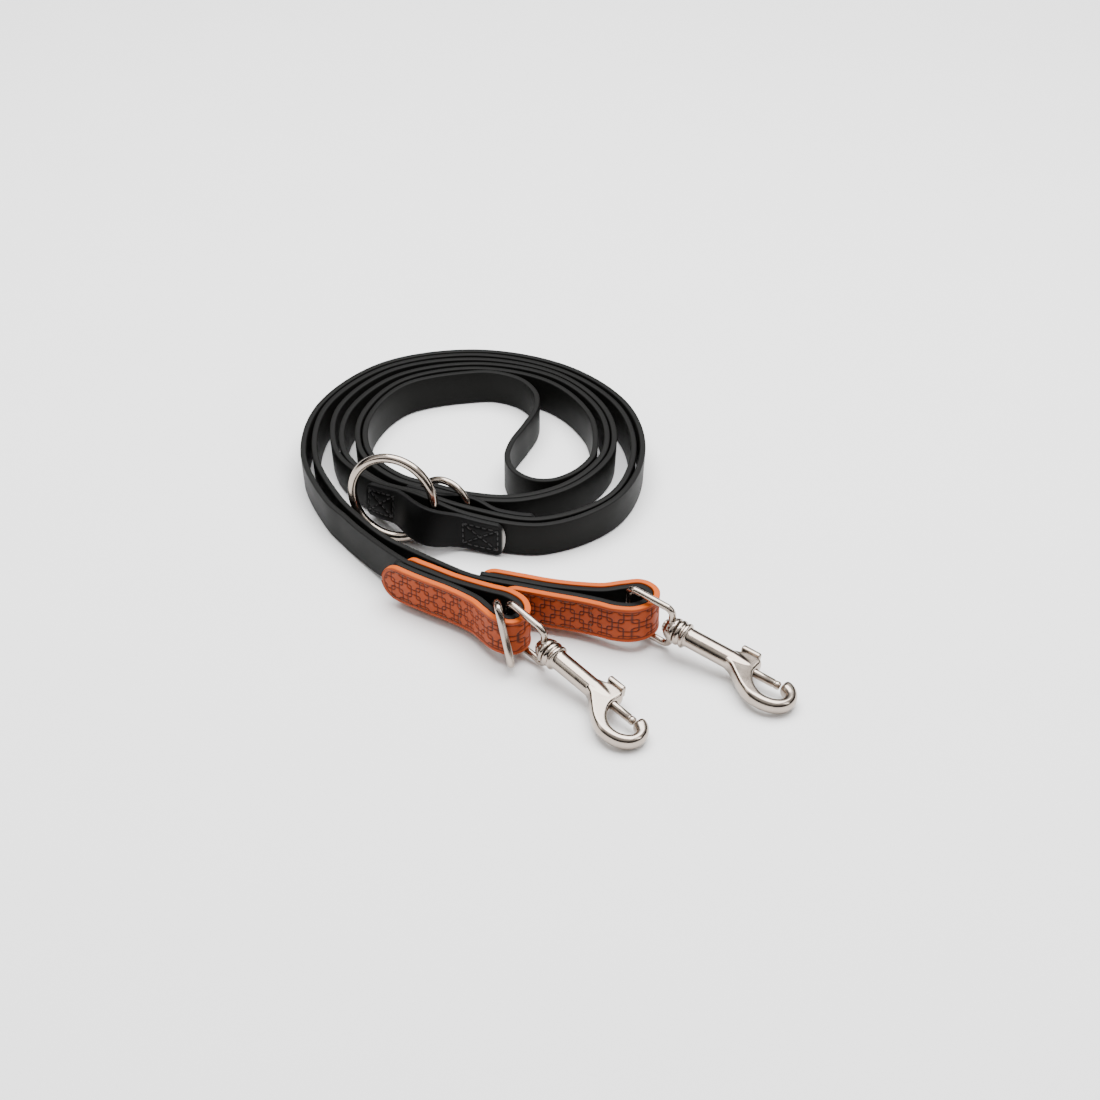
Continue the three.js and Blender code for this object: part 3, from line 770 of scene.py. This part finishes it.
def plate(name, points, half):
    """A flat plate whose rim is rounded a little at the shoulder and fully at the bow."""
    outline = closed_curve(np.c_[np.array(points, float), np.zeros(len(points))], 200)[:, :2]
    along = unit(np.roll(outline, -1, axis=0) - np.roll(outline, 1, axis=0))
    inward = np.c_[along[:, 1], -along[:, 0]]
    bow = np.clip((outline[:, :1] - 38) / 6, 0, 1)
    inset = PLATE_ROUNDING + (BOW_ROUNDING - PLATE_ROUNDING) * bow
    turns = np.radians(np.linspace(-90, 90, 11))
    rings = np.array([np.c_[outline + inward * inset * (1 - math.cos(t)),
                            np.full(len(outline), half * math.sin(t))] for t in turns])
    piece = swept(name, rings)
    face_outwards(piece)
    return piece


def cut(piece, tool):
    run_modifier(piece, "BOOLEAN", operation="DIFFERENCE", solver="EXACT", object=tool)
    bpy.data.objects.remove(tool)


def snap_eye(number):
    near, far, half = -3.2, -EYE_REACH, EYE_HALF
    corner = 3.2
    outline = []
    for cx, cz, start in ((near - corner, half - corner, 0), (far + corner, half - corner, 90),
                          (far + corner, corner - half, 180), (near - corner, corner - half, 270)):
        for angle in np.radians(np.arange(start, start + 91, 15)):
            outline.append((cx + corner * math.cos(angle), 0, cz + corner * math.sin(angle)))
    outline = np.array(outline)
    steps = []
    for i, point in enumerate(outline):
        after = outline[(i + 1) % len(outline)]
        parts = max(1, int(np.linalg.norm(after - point) / 0.9))
        steps += [point + (after - point) * k / parts for k in range(parts)]
    wire = round_wire("eye_wire", steps, EYE_WIRE)
    boss = lathed("eye_boss", [
        (-5.2, 2.8), (-5, 3.5), (-4.3, 4.1), (-3, 4.7), (-1.6, 5.2), (-0.6, 5.2),
        (-0.3, 4.7)])
    eye = cast_together([wire, boss], EYE_VOXEL, 5)
    pin_hole = lathed("pin_hole", [(4.4, 1.0), (7, 1.0)], 32)
    pin_hole.data.transform(Matrix.Translation((-3.4 * MM, 0, 0))
                            @ Matrix.Rotation(math.radians(-50), 4, "X")
                            @ Matrix.Rotation(math.radians(-90), 4, "Z"))
    cut(eye, pin_hole)
    eye.name = f"snap_eye_{number}"
    eye.data.transform(Matrix.Rotation(math.radians(EYE_ROLL), 4, "X"))
    return eye


def snap_casting(number):
    barrel = lathed("barrel", [
        (0, 3.6), (0.05, 4.9), (0.5, 5.35), (1.7, 5.35), (2.1, 4.75), (2.8, 4.75), (3.2, 5.35),
        (4.2, 5.35), (4.8, 4.25), (5.6, 4.05), (25, 4.05), (29.5, 3.6), (33, 3.2), (35.6, 2.6)])
    hook = plate("hook", HOOK_OUTLINE, HOOK_HALF)
    casting = cast_together([barrel, hook], VOXEL, 9)
    bpy.ops.mesh.primitive_cube_add(size=1, location=(SLOT_CENTRE * MM, 5.2 * MM, 0))
    slot_tool = bpy.context.object
    slot_tool.scale = (SLOT_LONG * MM, 8.2 * MM, SLOT_WIDE * MM)
    settle(slot_tool)
    cut(casting, slot_tool)
    cut(casting, lathed("bore", [(3.4, 2.05), (37.5, 2.05)], 40))
    casting.name = f"snap_casting_{number}"
    return casting


def thumb_tab(number):
    bpy.ops.mesh.primitive_cube_add(size=1, location=(TAB_CENTRE * MM, 7.85 * MM, 0))
    tab = bpy.context.object
    tab.scale = (8.6 * MM, 2.7 * MM, 5.6 * MM)
    settle(tab)
    run_modifier(tab, "BEVEL", width=1.0 * MM, segments=5)
    for step in (-2.1, 0, 2.1):
        bpy.ops.mesh.primitive_cylinder_add(
            vertices=24, radius=0.45 * MM, depth=9 * MM,
            location=((TAB_CENTRE + step) * MM, 9.4 * MM, 0))
        groove = bpy.context.object
        settle(groove)
        cut(tab, groove)
    stud = lathed("stud", [(0.6, 1.1), (7.2, 1.1)], 24)
    stud.data.transform(Matrix.Translation((TAB_CENTRE * MM, 0, 0))
                        @ Matrix.Rotation(math.pi / 2, 4, "Z"))
    bpy.ops.object.select_all(action="DESELECT")
    for piece in (tab, stud):
        piece.select_set(True)
    bpy.context.view_layer.objects.active = tab
    bpy.ops.object.join()
    tab = bpy.context.object
    tab.name = f"thumb_tab_{number}"
    return tab


def bolt_rod(number):
    return lathed(f"bolt_rod_{number}", [
        (19, 1.2), (19.2, 1.75), (44.4, 1.75), (44.6, 1.5), (45.1, 1.5), (45.3, 1.75),
        (46.8, 1.75), (47.4, 1.3), (47.5, 0.5)], 40)


for number in (1, 2):
    axis = Vector(joints[f"snap_{number}_swivel"]["axis"]).normalized()
    side = Vector((0, 0, 1)).cross(axis).normalized()
    stance = Matrix((axis, side, axis.cross(side))).transposed().to_4x4()
    stance.translation = joints[f"snap_{number}_swivel"]["pos_m"]
    for piece, body, node in (
            (snap_eye(number), f"swivel_{number}", f"swivel_eye_{number}"),
            (snap_casting(number), f"snap_{number}", f"snap_body_{number}"),
            (bolt_rod(number), f"bolt_{number}", f"snap_bolt_{number}"),
            (thumb_tab(number), f"bolt_{number}", f"thumb_knob_{number}")):
        settle(piece, stance)
        finish_metal(piece, body, node)
        if "tab" in piece.name or "casting" in piece.name:
            piece.data.set_sharp_from_angle(angle=math.radians(50))
    rivet = frame["nodes"][f"swivel_rivet_{number}"]
    rivet.data.materials.clear()
    rivet.data.materials.append(nickel)

# The return springs are hard-drawn wire: grey, with the drawing die's fine marks.
spring_wire, tree, output = new_material("hard_drawn_spring_wire")
place = add_node(tree, "ShaderNodeTexCoord")
marks = add_node(tree, "ShaderNodeTexNoise", None,
                 {"Vector": place.outputs["Object"], "Scale": 3000.0, "Detail": 2.0})
tone = add_node(tree, "ShaderNodeMix", {"data_type": "RGBA"},
                {0: marks.outputs[0], 6: linear("#8d8c8a"), 7: linear("#a9a8a5")})
surface = add_node(tree, "ShaderNodeBsdfPrincipled", None,
                   {"Base Color": tone.outputs[2], "Metallic": 1.0, "Roughness": 0.35})
tree.links.new(surface.outputs[0], output.inputs["Surface"])
for number in (1, 2):
    spring = frame["nodes"][f"bolt_spring_{number}"]
    spring.data.materials.clear()
    spring.data.materials.append(spring_wire)
